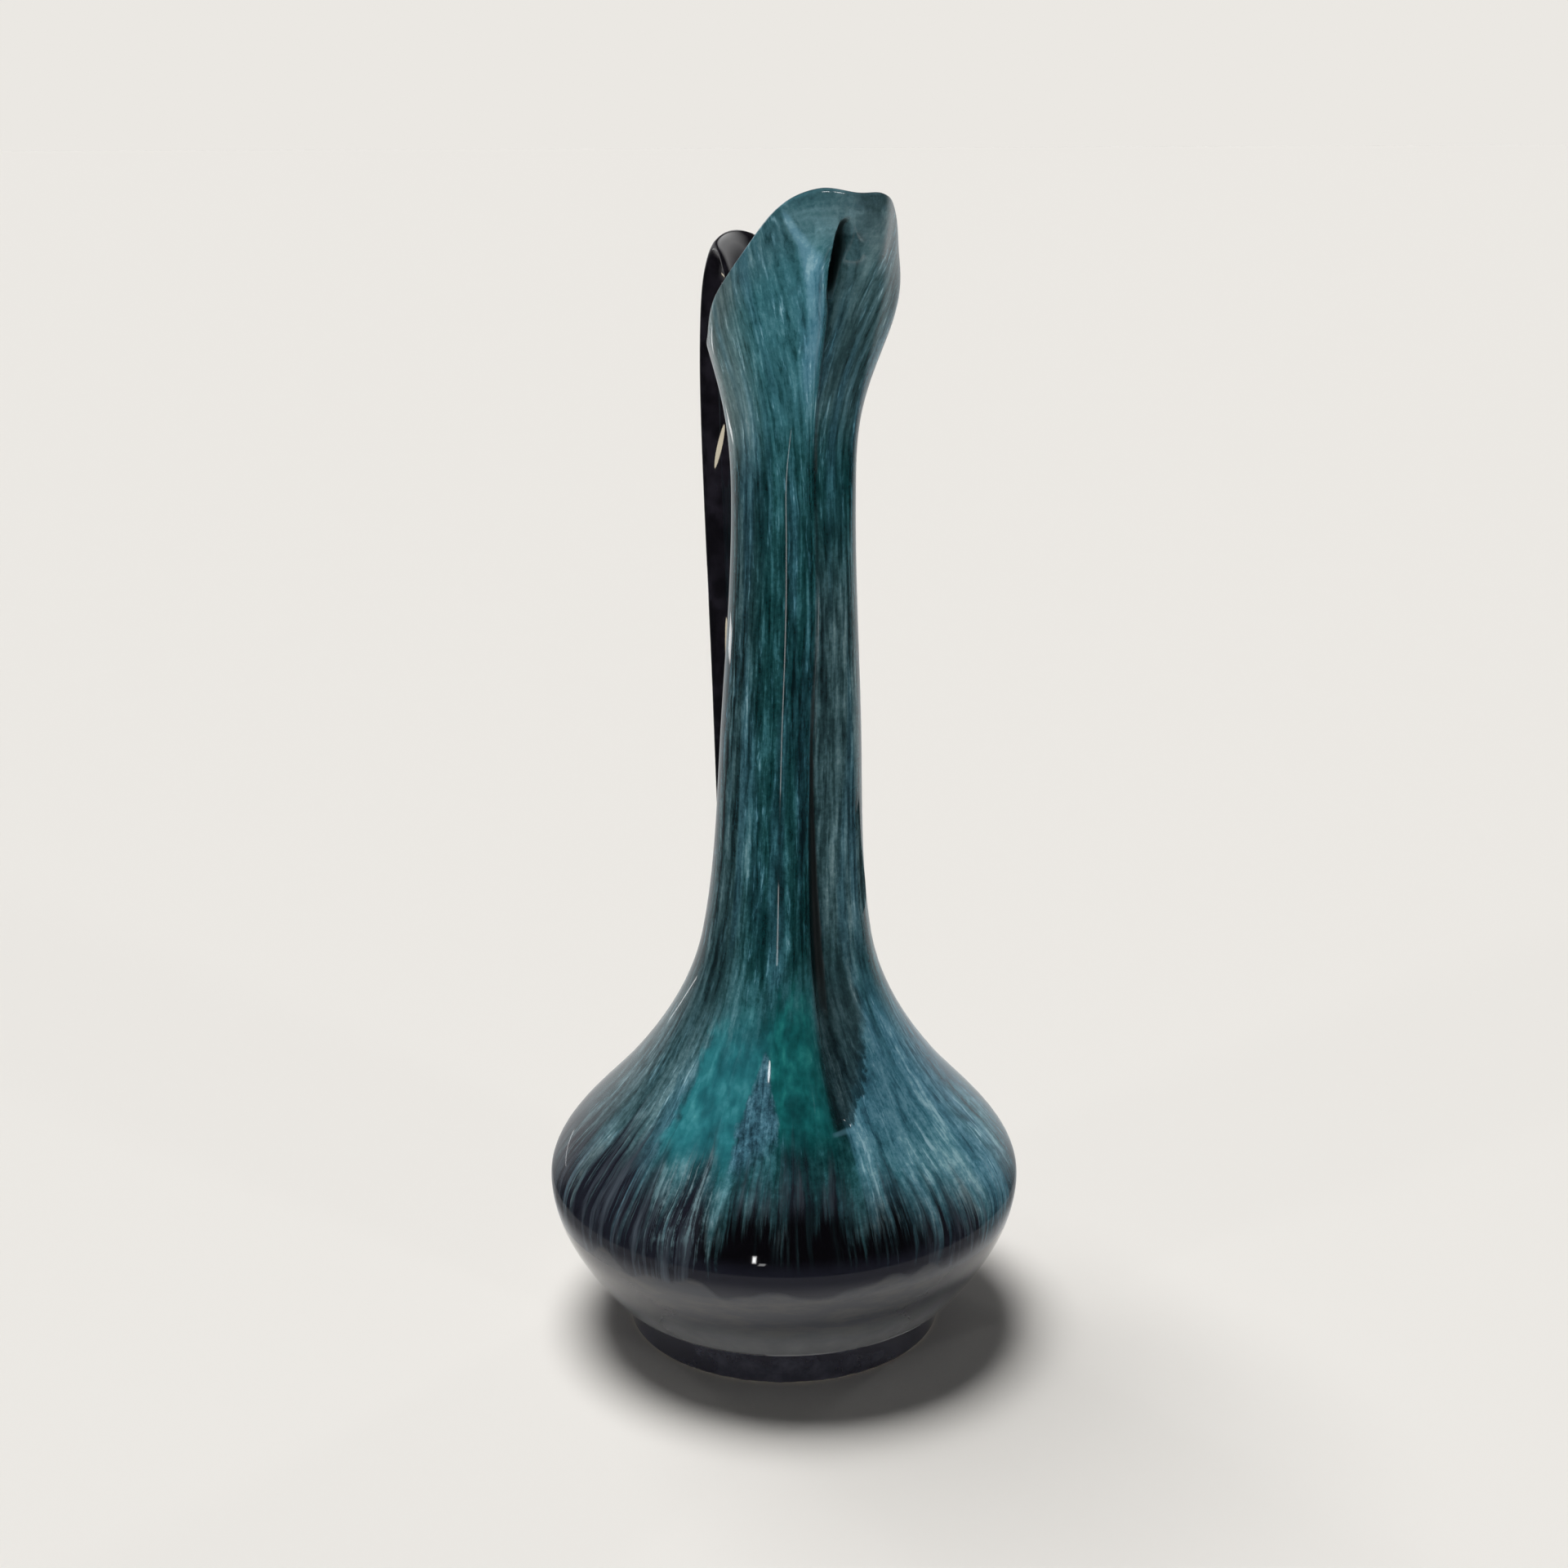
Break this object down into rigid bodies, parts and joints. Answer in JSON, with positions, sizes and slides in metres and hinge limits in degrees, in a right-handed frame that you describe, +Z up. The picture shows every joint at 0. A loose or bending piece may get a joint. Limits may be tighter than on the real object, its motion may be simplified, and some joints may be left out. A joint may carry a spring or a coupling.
{
  "type": "pitcher vase",
  "caption": "Tall glazed ewer-shaped vase with a squat bulb on a foot ring, a long creased neck, a pinched flared spout and a high strap handle.",
  "frame": {"origin": "centre of the foot ring on the surface that the vase stands on", "axes": "+Z up, the spout towards -Y, the handle towards +Y, +X to the pouring side's right as seen from the front"},
  "size_m": [0.1346, 0.1346, 0.3206],
  "materials": {
    "running_glaze": "glossy drip glaze in teal, green and pale blue streaks",
    "dark_glaze": "glossy near-black aubergine glaze"
  },
  "bodies": {
    "root": {"foot_ring": "dark_glaze", "body": "running_glaze", "neck": "running_glaze", "spout_lip": "running_glaze", "handle": "dark_glaze", "upper_luting_collar": "dark_glaze", "lower_luting_collar": "dark_glaze"}
  },
  "joints": []
}
